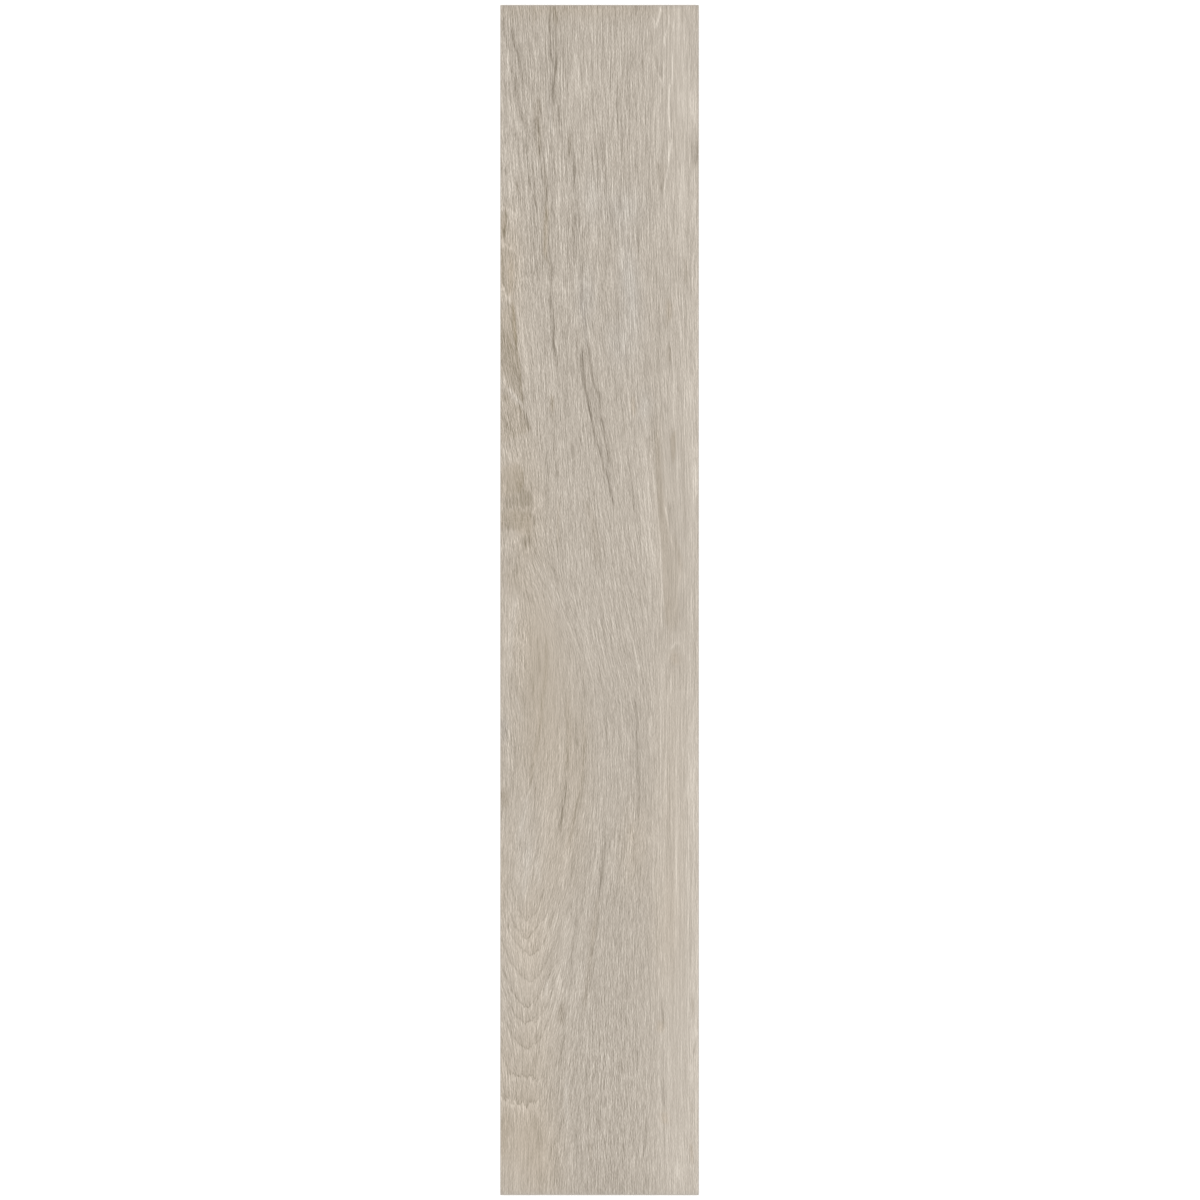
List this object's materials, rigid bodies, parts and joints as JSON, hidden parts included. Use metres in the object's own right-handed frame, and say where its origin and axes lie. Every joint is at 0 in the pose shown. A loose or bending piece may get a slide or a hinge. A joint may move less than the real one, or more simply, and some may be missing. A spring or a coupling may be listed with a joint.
{
  "type": "wood look porcelain plank tile",
  "caption": "Long flat rectangular porcelain floor and wall plank with a matte pale oak grain face, ground square edges with a small arris, and a shallow keyed back for adhesive.",
  "frame": {"origin": "middle of the back, on the plane the plank lies on", "axes": "+Y along the plank, +X across it, +Z out of the printed face"},
  "size_m": [0.2, 1.2, 0.0095],
  "materials": {
    "porcelain": "matte"
  },
  "bodies": {
    "root": {"plank_tile": "porcelain"}
  },
  "joints": []
}
